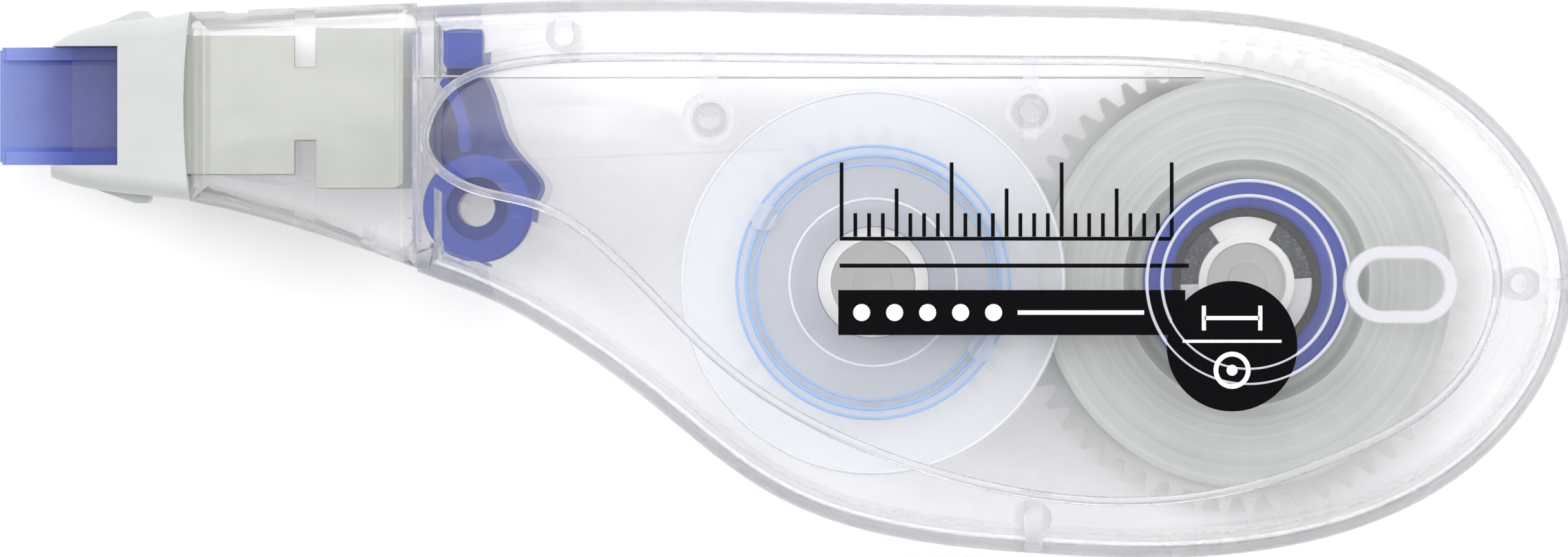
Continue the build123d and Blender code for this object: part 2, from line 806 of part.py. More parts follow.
# --- return roller -------------------------------------------------------------------
roller_top = tape_top + air_gap + roller_flange + 0.15
roller_bottom = tape_bottom - air_gap - roller_flange
with BuildPart() as return_roller:
    with BuildSketch(roller_plan.offset(roller_bottom)):
        Circle(roller_flange_radius)
    extrude(amount=roller_flange)
    with BuildSketch(roller_plan.offset(roller_bottom)):
        Circle(roller_barrel_radius)
    extrude(amount=roller_top - roller_bottom)
    with BuildSketch(roller_plan.offset(tape_top + air_gap)):
        Circle(roller_flange_radius)
    extrude(amount=roller_top - tape_top - air_gap)
    chamfer(return_roller.faces().sort_by(Axis.Z)[-1].edges(), 0.12)
    with BuildSketch(roller_plan):
        Circle(roller_post_radius + running_gap)
    extrude(amount=thickness, mode=Mode.SUBTRACT)
    # counterbore for the boss in the front case
    with BuildSketch(roller_plan.offset(mid_z + 1.4)):
        Circle(roller_boss_radius + running_gap)
    extrude(amount=thickness, mode=Mode.SUBTRACT)
return_roller.part.label = "return_roller"
export_step(return_roller.part, "parts/return_roller.step")


# --- gears ------------------------------------------------------------------------
def gear_face(teeth, first_angle, bore):
    """A gear in plan: straight-flanked teeth on a root circle, with a bore."""
    pitch = module * teeth / 2
    lean = sin(radians(pressure_angle)) / cos(radians(pressure_angle))
    at_pitch = (3.1416 * module / 2 - backlash) / 2
    addendum = 0.95 * module
    dedendum = 1.2 * module
    with BuildSketch() as face:
        Circle(pitch - dedendum)
        with PolarLocations(pitch, teeth, start_angle=first_angle):
            Polygon(
                (-dedendum - 0.15, at_pitch + dedendum * lean),
                (-dedendum - 0.15, -at_pitch - dedendum * lean),
                (0, -at_pitch),
                (addendum, -at_pitch + addendum * lean),
                (addendum, at_pitch - addendum * lean),
                (0, at_pitch),
                align=None,
            )
        Circle(bore, mode=Mode.SUBTRACT)
    return face.sketch


def sector_face(turn, half_angle, inner_radius):
    """A slice of the ring between the hub and the petals' radius, about an angle."""
    with BuildSketch() as face:
        with BuildLine():
            rim = CenterArc((0, 0), petal_radius, turn - half_angle, 2 * half_angle)
            heel = CenterArc((0, 0), inner_radius, turn - half_angle, 2 * half_angle)
            Line(rim @ 0, heel @ 0)
            Line(rim @ 1, heel @ 1)
        make_face()
    return face.sketch


petal_inner_radius = supply_post_radius + running_gap + hub_wall
petal_bottom = gear_top + 1.1
clutch_top = tape_top - 0.9
with BuildPart() as supply_gear:
    with BuildSketch(plan.offset(gear_bottom)):
        add(gear_face(supply_teeth, 180, supply_post_radius + running_gap))
    extrude(amount=gear_thickness)
    # hub tube, then the three petals that drive the clutch
    with BuildSketch(plan.offset(gear_bottom)):
        Circle(petal_inner_radius)
        Circle(supply_post_radius + running_gap, mode=Mode.SUBTRACT)
    extrude(amount=tape_top - gear_bottom)
    with BuildSketch(plan.offset(petal_bottom)):
        for turn in (0, 120, 240):
            add(sector_face(petal_turn + turn, petal_half_angle, petal_inner_radius - 0.1))
    extrude(amount=clutch_top - petal_bottom)
supply_gear.part.label = "supply_gear"
export_step(supply_gear.part, "parts/supply_gear.step")

# --- slip clutch: three-lobed plate and its drag ring ----------------------------------
lobe_half_angle = 60 - petal_half_angle - 1
drag_ring_inner = petal_radius + 0.12
drag_ring_outer = core_bore - running_gap
with BuildPart() as clutch_plate:
    with BuildSketch(plan.offset(gear_top + air_gap)):
        Circle(drag_ring_outer - 0.1)
        Circle(petal_inner_radius + seat_gap, mode=Mode.SUBTRACT)
    extrude(amount=petal_bottom - gear_top - 2 * air_gap)
    with BuildSketch(plan.offset(gear_top + air_gap)):
        for turn in (60, 180, 300):
            add(sector_face(petal_turn + turn, lobe_half_angle, petal_inner_radius + seat_gap))
    extrude(amount=clutch_top - gear_top - air_gap - 0.4)
clutch_plate.part.label = "clutch_plate"
export_step(clutch_plate.part, "parts/clutch_plate.step")

with BuildPart() as drag_ring:
    with BuildSketch(plan.offset(petal_bottom)):
        Circle(drag_ring_outer)
        Circle(drag_ring_inner, mode=Mode.SUBTRACT)
        with PolarLocations(drag_ring_inner, 12):
            Circle(0.22, mode=Mode.SUBTRACT)
    extrude(amount=clutch_top - petal_bottom - 0.2)
drag_ring.part.label = "drag_ring"
export_step(drag_ring.part, "parts/drag_ring.step")

# --- supply core, end leader and coated roll --------------------------------------------
with BuildPart() as supply_core:
    with BuildSketch(plan.offset(core_bottom)):
        Circle(core_radius)
        Circle(core_bore, mode=Mode.SUBTRACT)
    extrude(amount=core_top - core_bottom)
    chamfer(supply_core.faces().sort_by(Axis.Z)[-1].edges(), 0.2)
supply_core.part.label = "supply_core"
export_step(supply_core.part, "parts/supply_core.step")

with BuildPart() as end_leader:
    with BuildSketch(plan.offset(tape_bottom)):
        Circle(leader_radius)
        Circle(core_radius, mode=Mode.SUBTRACT)
    extrude(amount=tape_width)
end_leader.part.label = "end_leader"
export_step(end_leader.part, "parts/end_leader.step")

with BuildPart() as supply_roll:
    with BuildSketch(plan.offset(tape_bottom)):
        Circle(roll_radius)
        Circle(leader_radius, mode=Mode.SUBTRACT)
    extrude(amount=tape_width)
supply_roll.part.label = "supply_roll"
export_step(supply_roll.part, "parts/supply_roll.step")

# --- take-up reel ------------------------------------------------------------------------
takeup_bore = takeup_post_radius + running_gap
with BuildPart() as takeup_gear:
    with BuildSketch(takeup_plan.offset(gear_bottom)):
        add(gear_face(takeup_teeth, 180 / takeup_teeth, takeup_bore))
    extrude(amount=gear_thickness)
    with BuildSketch(takeup_plan.offset(gear_bottom)):
        Circle(takeup_hub_radius)
        Circle(takeup_bore, mode=Mode.SUBTRACT)
    extrude(amount=flange_top - gear_bottom)
takeup_gear.part.label = "takeup_gear"
export_step(takeup_gear.part, "parts/takeup_gear.step")

drum_web = 0.8
with BuildPart() as takeup_drum:
    with BuildSketch(takeup_plan.offset(gear_top)):
        Circle(drum_outer_radius)
        Circle(takeup_hub_radius + seat_gap, mode=Mode.SUBTRACT)
    extrude(amount=drum_web)
    with BuildSketch(takeup_plan.offset(gear_top)):
        Circle(drum_outer_radius)
        Circle(drum_inner_radius, mode=Mode.SUBTRACT)
    extrude(amount=flange_bottom - gear_top)
takeup_drum.part.label = "takeup_drum"
export_step(takeup_drum.part, "parts/takeup_drum.step")

with BuildPart() as takeup_flange:
    with BuildSketch(takeup_plan.offset(flange_bottom)):
        Circle(flange_radius)
        Circle(takeup_hub_radius + seat_gap, mode=Mode.SUBTRACT)
    extrude(amount=flange_thickness)
    fillet(takeup_flange.faces().sort_by(Axis.Z)[-1].edges().sort_by(SortBy.LENGTH)[-1], 0.3)
    with BuildSketch(takeup_plan.offset(flange_bottom - 1.5)):
        Circle(takeup_collar_radius)
        Circle(takeup_hub_radius + seat_gap, mode=Mode.SUBTRACT)
    extrude(amount=flange_thickness + 2.1)
    # two round knobs over the drum's wall
    with BuildSketch(takeup_plan.offset(flange_top)):
        with PolarLocations(drum_outer_radius, 2, start_angle=149):
            Circle(knob_radius)
    extrude(amount=0.4)
takeup_flange.part.label = "takeup_flange"
export_step(takeup_flange.part, "parts/takeup_flange.step")

with BuildPart() as wound_liner:
    with BuildSketch(takeup_plan.offset(tape_bottom)):
        Circle(liner_radius)
        Circle(drum_outer_radius, mode=Mode.SUBTRACT)
    extrude(amount=tape_width)
wound_liner.part.label = "wound_liner"
export_step(wound_liner.part, "parts/wound_liner.step")

# --- the tape on its way to the tip, and the bare liner on its way back -----------------------
coated_run_y = roll_radius + tape_sheet / 2
liner_exit_y = 7.2
lie_off = tip_web_half + tape_sheet / 2 + 0.03
nose_lie_off = tip_nose_half + tape_sheet / 2 + 0.03
nose_x = tip_nose_x + 0.25
twist_steps = 6


def twisted_ribbon(start_y, start_z, end_y, end_z):
    """A ribbon that turns a quarter turn between flat in the head and on edge in the case."""
    sections = []
    for step in range(twist_steps + 1):
        part_way = step / twist_steps
        turn = 90 * part_way
        place = Plane(
            origin=(
                supply_x + twist_front_x + (twist_rear_x - twist_front_x) * part_way,
                supply_y + start_y + (end_y - start_y) * part_way,
                start_z + (end_z - start_z) * part_way,
            ),
            x_dir=(0, cos(radians(turn)), sin(radians(turn))),
            z_dir=(1, 0, 0),
        )
        with BuildSketch(place) as section:
            Rectangle(tape_width, tape_sheet)
        sections.append(section.sketch)
    return loft(sections, ruled=True)


with BuildPart() as coated_tape:
    add(twisted_ribbon(head_y, mid_z - lie_off, coated_run_y, mid_z))
    # on edge, from the twist to the roll
    with BuildSketch(plan.offset(tape_bottom)):
        with Locations(((twist_rear_x - 3) / 2, coated_run_y)):
            Rectangle(-3 - twist_rear_x, tape_sheet)
    extrude(amount=tape_width)
    # flat against the tip's rear side
    with BuildSketch(head_side):
        with BuildLine():
            Polyline(
                (twist_front_x, -lie_off - tape_sheet / 2),
                (tip_slope_x, -lie_off - tape_sheet / 2),
                (nose_x, -nose_lie_off - tape_sheet / 2),
                (nose_x, -nose_lie_off + tape_sheet / 2),
                (tip_slope_x, -lie_off + tape_sheet / 2),
                (twist_front_x, -lie_off + tape_sheet / 2),
                close=True,
            )
        make_face()
    extrude(amount=tape_width / 2, both=True)
coated_tape.part.label = "coated_tape"
export_step(coated_tape.part, "parts/coated_tape.step")


def tangent_angle(x0, y0, r0, x1, y1, r1):
    """Direction, in radians, of the line that lies on top of both circles."""
    span = hypot(x1 - x0, y1 - y0)
    return atan2(y1 - y0, x1 - x0) + asin((r1 - r0) / span)


def top_of(x0, y0, radius, angle):
    """Point where a line at an angle lies on top of a circle."""
    return (x0 - radius * sin(angle), y0 + radius * cos(angle))


over_roller = roller_barrel_radius + air_gap + tape_sheet / 2
over_drum = liner_radius + tape_sheet / 2
angle_in = tangent_angle(twist_rear_x, liner_exit_y, 0, roller_x, roller_y, over_roller)
angle_out = tangent_angle(roller_x, roller_y, over_roller, takeup_x, 0, over_drum)
roller_in = top_of(roller_x, roller_y, over_roller, angle_in)
roller_out = top_of(roller_x, roller_y, over_roller, angle_out)
drum_in = top_of(takeup_x, 0, over_drum, angle_out)
drum_gap = 3.0
liner_end = (drum_in[0] - drum_gap * cos(angle_out), drum_in[1] - drum_gap * sin(angle_out))

with BuildPart() as return_liner:
    add(twisted_ribbon(head_y, mid_z + lie_off, liner_exit_y, mid_z))
    # on edge, over the return roller to the drum
    with BuildSketch(plan.offset(tape_bottom)):
        with BuildLine() as liner_way:
            Line((twist_rear_x - 0.02, liner_exit_y), roller_in)
            RadiusArc(roller_in, roller_out, over_roller)
            Line(roller_out, liner_end)
        trace(line_width=tape_sheet)
    extrude(amount=tape_width)
    # round the tip's nose and flat along its front side
    with BuildSketch(head_side):
        with BuildLine():
            Polyline(
                (twist_front_x, lie_off + tape_sheet / 2),
                (tip_slope_x, lie_off + tape_sheet / 2),
                (nose_x, nose_lie_off + tape_sheet / 2),
                (nose_x, nose_lie_off - tape_sheet / 2),
                (tip_slope_x, lie_off - tape_sheet / 2),
                (twist_front_x, lie_off - tape_sheet / 2),
                close=True,
            )
        make_face()
    extrude(amount=tape_width / 2, both=True)
return_liner.part.label = "return_liner"
export_step(return_liner.part, "parts/return_liner.step")
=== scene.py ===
"""Finishes, printed marks and studio for a clear correction tape roller.

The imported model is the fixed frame. Each sub-assembly is a class that dresses its
own moulded pieces and adds the fine pieces that ride with them. Lengths are metres.
"""
import logging
import math
from dataclasses import dataclass, field
from enum import Enum
from typing import Callable, Union

import bmesh
import bpy
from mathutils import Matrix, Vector


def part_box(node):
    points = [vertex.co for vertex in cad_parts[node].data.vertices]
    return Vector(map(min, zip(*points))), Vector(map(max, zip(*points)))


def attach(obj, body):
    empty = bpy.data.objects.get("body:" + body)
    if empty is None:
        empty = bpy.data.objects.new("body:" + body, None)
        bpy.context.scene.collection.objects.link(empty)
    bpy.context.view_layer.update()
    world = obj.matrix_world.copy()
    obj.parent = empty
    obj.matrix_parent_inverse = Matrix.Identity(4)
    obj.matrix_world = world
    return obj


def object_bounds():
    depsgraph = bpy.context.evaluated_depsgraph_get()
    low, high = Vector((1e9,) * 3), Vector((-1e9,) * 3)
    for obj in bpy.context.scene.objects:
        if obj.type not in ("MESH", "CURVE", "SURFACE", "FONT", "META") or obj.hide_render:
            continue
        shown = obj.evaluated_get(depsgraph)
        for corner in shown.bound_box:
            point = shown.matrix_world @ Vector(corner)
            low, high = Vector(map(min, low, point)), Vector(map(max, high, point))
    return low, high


log = logging.getLogger("tape_roller")
MM = 0.001
RING_FLATNESS = 0.7          # a ring's height over its half width
RING_GAP = 0.012 * MM        # how far a ring's foot stands off its face
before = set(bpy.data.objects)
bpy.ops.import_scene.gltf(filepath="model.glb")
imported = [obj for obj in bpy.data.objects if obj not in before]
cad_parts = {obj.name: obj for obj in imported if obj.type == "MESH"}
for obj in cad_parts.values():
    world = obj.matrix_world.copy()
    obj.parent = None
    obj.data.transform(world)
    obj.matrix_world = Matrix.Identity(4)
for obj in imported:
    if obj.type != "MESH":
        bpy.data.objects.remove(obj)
cad_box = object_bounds()

Operand = Union["Wire", float, int]
Colour = tuple[float, float, float, float]


class Body(Enum):
    """The bodies that the added pieces ride on."""

    HOUSING = "housing"
    TAKEUP = "takeup_reel"


# --- shader maths -----------------------------------------------------------------
class Wire:
    """One shader socket whose operators add the nodes that work them out."""

    def __init__(self, bench: "Bench", socket: bpy.types.NodeSocket) -> None:
        """Keep the socket and the bench that its nodes are added to.

        Args:
            bench: The material's node bench.
            socket: The output socket that this wire starts from.
        """
        self.bench = bench
        self.socket = socket

    def math(self, operation: str, *others: Operand) -> "Wire":
        """Add a Math node on this wire and others.

        Args:
            operation: The Math node's operation.
            others: The other values or wires, in order.

        Returns:
            The node's output.
        """
        return self.bench.math(operation, self, *others)

    def __add__(self, other: Operand) -> "Wire":
        """This wire plus another."""
        return self.math("ADD", other)

    __radd__ = __add__

    def __mul__(self, other: Operand) -> "Wire":
        """This wire times another."""
        return self.math("MULTIPLY", other)

    __rmul__ = __mul__

    def __sub__(self, other: Operand) -> "Wire":
        """This wire less another."""
        return self.math("SUBTRACT", other)

    def __rsub__(self, other: Operand) -> "Wire":
        """Another less this wire."""
        return self.bench.math("SUBTRACT", other, self)

    def __truediv__(self, other: Operand) -> "Wire":
        """This wire over another."""
        return self.math("DIVIDE", other)

    def clamp(self) -> "Wire":
        """This wire held between 0 and 1."""
        return self.math("MAXIMUM", 0.0).math("MINIMUM", 1.0)

    def ease(self, low: float, high: float) -> "Wire":
        """A smooth rise from 0 at low to 1 at high.

        Args:
            low: Where the rise starts.
            high: Where it ends; below low it is a fall.

        Returns:
            The eased wire.
        """
        part = ((self - low) / (high - low)).clamp()
        return part * part * (3.0 - 2.0 * part)

    def band(self, centre: float, half: float, soft: float) -> "Wire":
        """1 within half of centre, and 0 beyond it.

        Args:
            centre: The band's middle.
            half: Half of its width.
            soft: How wide each edge fades.

        Returns:
            The band's mask.
        """
        return (self - centre).math("ABSOLUTE").ease(half + soft, half - soft)


class Bench:
    """A material's nodes, with one method that adds any of them."""

    def __init__(self, name: str) -> None:
        """Start an empty material.

        Args:
            name: The material's name.
        """
        self.material = bpy.data.materials.new(name)
        self.material.use_nodes = True
        self.tree = self.material.node_tree
        self.tree.nodes.clear()
        self.place = self.add("ShaderNodeTexCoord", {}, {}, "Object")

    def add(
        self, kind: str, settings: dict[str, object], inputs: dict[object, object], out: object = 0
    ) -> Wire:
        """Add one node.

        Args:
            kind: The node's type.
            settings: Its properties, set before its sockets.
            inputs: Values or wires by socket name or number.
            out: Which output the returned wire starts from.

        Returns:
            The wire from that output.
        """
        node = self.tree.nodes.new(kind)
        for key, value in settings.items():
            setattr(node, key, value)
        for key, value in inputs.items():
            if isinstance(value, Wire):
                self.tree.links.new(value.socket, node.inputs[key])
            else:
                node.inputs[key].default_value = value
        return Wire(self, node.outputs[out])

    def math(self, operation: str, *values: Operand) -> Wire:
        """Add a Math node.

        Args:
            operation: Its operation.
            values: Its inputs in order.

        Returns:
            Its output.
        """
        return self.add("ShaderNodeMath", {"operation": operation}, dict(enumerate(values)))

    def mix(self, amount: Operand, low: object, high: object) -> Wire:
        """Mix two colours.

        Args:
            amount: 0 gives low and 1 gives high.
            low: A colour or a wire.
            high: A colour or a wire.

        Returns:
            The mixed colour.
        """
        return self.add(
            "ShaderNodeMix", {"data_type": "RGBA"}, {0: amount, 6: low, 7: high}, 2
        )

    def axis(self, name: str, shift: float = 0.0) -> Wire:
        """One object coordinate in millimetres, measured from a place.

        Args:
            name: "X", "Y" or "Z".
            shift: The place, in metres.

        Returns:
            The distance from it in millimetres.
        """
        parts = self.add("ShaderNodeSeparateXYZ", {}, {"Vector": self.place}, name)
        return (parts - shift) * 1000.0

    def noise(self, grain: float, detail: float = 2.0, stretch: Colour = (1, 1, 1, 1)) -> Wire:
        """Soft noise from 0 to 1.

        Args:
            grain: The size of a blotch, in millimetres.
            detail: How many finer layers it has.
            stretch: How much each axis is stretched.

        Returns:
            The noise.
        """
        spot = self.add(
            "ShaderNodeMapping", {}, {"Vector": self.place, "Scale": tuple(stretch[:3])}
        )
        return self.add(
            "ShaderNodeTexNoise",
            {},
            {"Vector": spot, "Scale": 1000.0 / grain, "Detail": detail, "Roughness": 0.55},
            "Fac",
        )

    def radius(self, centre: Vector) -> Wire:
        """Distance from an upright axis, in millimetres.

        Args:
            centre: A point on the axis.

        Returns:
            The distance.
        """
        x = self.axis("X", centre.x)
        y = self.axis("Y", centre.y)
        return (x * x + y * y).math("SQRT")

    def bump(self, height: Wire, depth: float, strength: float = 1.0) -> Wire:
        """Turn a height into a normal.

        Args:
            height: The height, 0 to 1.
            depth: What 1 stands for, in millimetres.
            strength: How much of it shows.

        Returns:
            The normal.
        """
        return self.add(
            "ShaderNodeBump",
            {},
            {"Height": height, "Distance": depth * MM, "Strength": strength},
        )

    def close(self, shader: Wire) -> bpy.types.Material:
        """Add the material's output, link the shader to it and hand the material over.

        Args:
            shader: The finished surface.

        Returns:
            The material.
        """
        node = self.tree.nodes.new("ShaderNodeOutputMaterial")
        self.tree.links.new(shader.socket, node.inputs["Surface"])
        return self.material


def tint(red: float, green: float, blue: float) -> Colour:
    """A display colour as the linear colour that shaders take.

    Args:
        red: Red, from 0 to 255.
        green: Green.
        blue: Blue.

    Returns:
        The linear colour, opaque.
    """

    def linear(value: float) -> float:
        """One channel from display to linear."""
        part = value / 255.0
        return part / 12.92 if part <= 0.04045 else ((part + 0.055) / 1.055) ** 2.4

    return (linear(red), linear(green), linear(blue), 1.0)


# --- finishes ---------------------------------------------------------------------
@dataclass(frozen=True)
class Finish:
    """A finish that makes one material."""

    name: str

    def make(self) -> bpy.types.Material:
        """Build the material; each finish has its own."""
        raise NotImplementedError


@dataclass(frozen=True)
class SatinMoulding(Finish):
    """Opaque moulded plastic with faint grain and uneven tone."""

    light: Colour
    dark: Colour
    rough: float = 0.42
    grain: float = 0.25
    depth: float = 0.006

    def make(self) -> bpy.types.Material:
        """Build the material.

        Returns:
            The finished material.
        """
        bench = Bench(self.name)
        cloud = bench.noise(6.0, 3.0)
        grain = bench.noise(self.grain, 2.0)
        colour = bench.mix((cloud - 0.35) * 2.0, self.dark, self.light)
        rough = (cloud - 0.5) * 0.16 + self.rough
        shader = bench.add(
            "ShaderNodeBsdfPrincipled",
            {},
            {
                "Base Color": colour,
                "Roughness": rough,
                "Normal": bench.bump(grain, self.depth),
            },
        )
        return bench.close(shader)


@dataclass(frozen=True)
class ClearMoulding(Finish):
    """Clear moulded plastic: faint flow lines, a milky veil, and painted highlights that whiten
    steep walls and any frosted features.
    """

    painted_highlight_frost: Callable[[Bench], Wire] | None = None
    index: float = 1.5
    body: Colour = (0.952, 0.952, 0.956, 1.0)
    straight_body: Colour = (0.968, 0.968, 0.973, 1.0)
    through: float = 0.2
    veil: float = 0.02
    steep_painted_highlight: float = 0.06
    painted_highlight_veil: float = 0.75
    frost_rough: float = 0.3

    def make(self) -> bpy.types.Material:
        """Build the material.

        Returns:
            The finished material.
        """
        bench = Bench(self.name)
        flow = bench.noise(9.0, 2.0, (0.35, 1.0, 1.0, 1.0))
        cloud = bench.noise(1.3, 2.0)
        facing = bench.add("ShaderNodeTexCoord", {}, {}, "Normal")
        upright = bench.add("ShaderNodeSeparateXYZ", {}, {"Vector": facing}, "Z").math("ABSOLUTE")
        # painted highlight: steep walls get more of the white milk layer, for the bright lines that
        # they show
        steep = upright.ease(0.5, 0.05)
        veil = self.veil + steep * self.steep_painted_highlight + (cloud - 0.5) * 0.03
        rough = 0.015 + cloud * 0.03
        # painted highlight: the frost mask whitens the bead, ribs and bosses with the milk layer,
        # and also roughens them
        if self.painted_highlight_frost is not None:
            painted_highlight_frost = self.painted_highlight_frost(bench)
            veil = veil + painted_highlight_frost * self.painted_highlight_veil
            rough = rough + painted_highlight_frost * self.frost_rough
        normal = bench.bump(flow, 0.03, 0.5)
        glass = bench.add(
            "ShaderNodeBsdfPrincipled",
            {},
            {
                "Base Color": self.body,
                "Roughness": rough,
                "IOR": self.index,
                "Transmission Weight": 1.0,
                "Normal": normal,
            },
        )
        # the white milk layer: a faint haze, plus the painted highlights on steep walls and under
        # the frost mask
        milk = bench.add(
            "ShaderNodeBsdfPrincipled",
            {},
            {"Base Color": tint(230, 230, 236), "Roughness": 0.35, "Normal": normal},
        )
        clear = bench.add("ShaderNodeBsdfTransparent", {}, {"Color": self.straight_body})
        lamp = bench.add("ShaderNodeLightPath", {}, {}, "Is Shadow Ray")
        straight = bench.math("MAXIMUM", lamp, self.through)
        body = bench.add("ShaderNodeMixShader", {}, {0: straight, 1: glass, 2: clear})
        return bench.close(bench.add("ShaderNodeMixShader", {}, {0: veil, 1: body, 2: milk}))


@dataclass(frozen=True)
class WoundFilm(Finish):
    """The edges of a wound tape, in fine rings."""

    light: Colour
    dark: Colour
    centre: Vector
    pitch: float = 0.55

    def make(self) -> bpy.types.Material:
        """Build the material.

        Returns:
            The finished material.
        """
        bench = Bench(self.name)
        radius = bench.radius(self.centre)
        fine = (radius * (2 * math.pi / self.pitch)).math("SINE") * 0.5 + 0.5
        wide = bench.add(
            "ShaderNodeTexNoise",
            {"noise_dimensions": "1D"},
            {"W": radius, "Scale": 1.7, "Detail": 4.0},
            "Fac",
        )
        cloud = bench.noise(5.0, 2.0)
        colour = bench.mix((wide * 0.7 + cloud * 0.3 - 0.3) * 2.2, self.dark, self.light)
        shader = bench.add(
            "ShaderNodeBsdfPrincipled",
            {},
            {
                "Base Color": colour,
                "Roughness": 0.5 + wide * 0.15,
                "Normal": bench.bump(fine * 0.5 + wide * 0.5, 0.02, 0.6),
            },
        )
        return bench.close(shader)


@dataclass(frozen=True)
class SpeckledPlate(Finish):
    """Dark grey plastic with pale specks."""

    base: Colour
    speck: Colour

    def make(self) -> bpy.types.Material:
        """Build the material.

        Returns:
            The finished material.
        """
        bench = Bench(self.name)
        specks = bench.noise(0.28, 3.0).ease(0.5, 0.68)
        shader = bench.add(
            "ShaderNodeBsdfPrincipled",
            {},
            {
                "Base Color": bench.mix(specks, self.base, self.speck),
                "Roughness": 0.45 + specks * 0.2,
                "Normal": bench.bump(specks, 0.02, 0.5),
            },
        )
        return bench.close(shader)


@dataclass(frozen=True)
class ClearTint(Finish):
    """Thin see-through plastic: part of it lets light straight through."""

    colour: Colour
    pale: Colour
    clearness: float
    rough: float = 0.25

    def make(self) -> bpy.types.Material:
        """Build the material.

        Returns:
            The finished material.
        """
        bench = Bench(self.name)
        cloud = bench.noise(4.0, 3.0)
        shell = bench.add(
            "ShaderNodeBsdfPrincipled",
            {},
            {
                "Base Color": bench.mix(cloud, self.colour, self.pale),
                "Roughness": self.rough + cloud * 0.1,
                "Normal": bench.bump(cloud, 0.02, 0.3),
            },
        )
        clear = bench.add("ShaderNodeBsdfTransparent", {}, {"Color": (0.98, 0.985, 1.0, 1.0)})
        share = self.clearness + (cloud - 0.5) * 0.05
        return bench.close(bench.add("ShaderNodeMixShader", {}, {0: share, 1: shell, 2: clear}))


@dataclass(frozen=True)
class TipPlastic(Finish):
    """The tip's translucent blue, with painted light: paler over the sloping front facet and deeper
    behind it, as light falls on the two faces.
    """

    lit_facet_front_x: float
    lit_facet_back_x: float

    def make(self) -> bpy.types.Material:
        """Build the material.

        Returns:
            The finished material.
        """
        bench = Bench(self.name)
        # painted light: a ramp along X from the lit front facet to the shaded rear of the tip
        lit_facet_ramp = bench.axis("X").ease(self.lit_facet_front_x * 1000.0, self.lit_facet_back_x * 1000.0)
        cloud = bench.noise(3.0, 2.0)
        pale = bench.mix(cloud, tint(112, 134, 210), tint(128, 148, 222))
        deep = bench.mix(cloud, tint(38, 58, 156), tint(50, 72, 176))
        shader = bench.add(
            "ShaderNodeBsdfPrincipled",
            {},
            {
                "Base Color": bench.mix(lit_facet_ramp, pale, deep),
                "Roughness": 0.24 + cloud * 0.1,
                "Subsurface Weight": 0.25,
                "Subsurface Radius": (0.0006, 0.0008, 0.0016),
                "Coat Weight": 0.3,
                "Coat Roughness": 0.1,
                "Normal": bench.bump(cloud, 0.02, 0.4),
            },
        )
        return bench.close(shader)


@dataclass(frozen=True)
class PrintInk(Finish):
    """Screen-printed ink with a slightly uneven film."""

    colour: Colour
    clearness: float = 0.04

    def make(self) -> bpy.types.Material:
        """Build the material.

        Returns:
            The finished material.
        """
        bench = Bench(self.name)
        film = bench.noise(0.35, 3.0)
        worn = tuple(part * 1.25 for part in self.colour[:3]) + (1.0,)
        shader = bench.add(
            "ShaderNodeBsdfPrincipled",
            {},
            {
                "Base Color": bench.mix(film, self.colour, worn),
                "Roughness": 0.32 + film * 0.15,
                "Specular IOR Level": 0.04,
                "Normal": bench.bump(film, 0.004, 0.5),
            },
        )
        clear = bench.add("ShaderNodeBsdfTransparent", {}, {"Color": (1.0, 1.0, 1.0, 1.0)})
        share = self.clearness + film.ease(0.72, 0.8) * 0.1
        return bench.close(bench.add("ShaderNodeMixShader", {}, {0: share, 1: shader, 2: clear}))


# --- small modelling helpers ------------------------------------------------------
def alone(piece: bpy.types.Object) -> None:
    """Select one object and nothing else."""
    bpy.ops.object.select_all(action="DESELECT")
    piece.select_set(True)
    bpy.context.view_layer.objects.active = piece


def settle(
    piece: bpy.types.Object, name: str, finish: bpy.types.Material, body: Body
) -> bpy.types.Object:
    """Bake a piece's modifiers and place into its mesh, dress it and let it ride.

    Args:
        piece: The modelled object.
        name: Its name.
        finish: Its material.
        body: The body that it rides on.

    Returns:
        The finished piece.
    """
    alone(piece)
    for modifier in list(piece.modifiers):
        bpy.ops.object.modifier_apply(modifier=modifier.name)
    bpy.ops.object.transform_apply(location=True, rotation=True, scale=True)
    piece.name = name
    piece.data.name = name
    piece.data.materials.clear()
    piece.data.materials.append(finish)
    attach(piece, body.value)
    log.info("piece %s on %s, %d faces", name, body.value, len(piece.data.polygons))
    return piece


def dress(node: str, finish: Finish) -> None:
    """Give a moulded piece of the frame its finish.

    Args:
        node: The frame's node.
        finish: The finish; its material is made here.
    """
    material = finish.make()
    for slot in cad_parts[node].material_slots:
        slot.material = material
    log.info("dressed %s with %s", node, finish.name)


def middle(node: str) -> Vector:
    """The middle of a node's box."""
    low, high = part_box(node)
    return (low + high) / 2


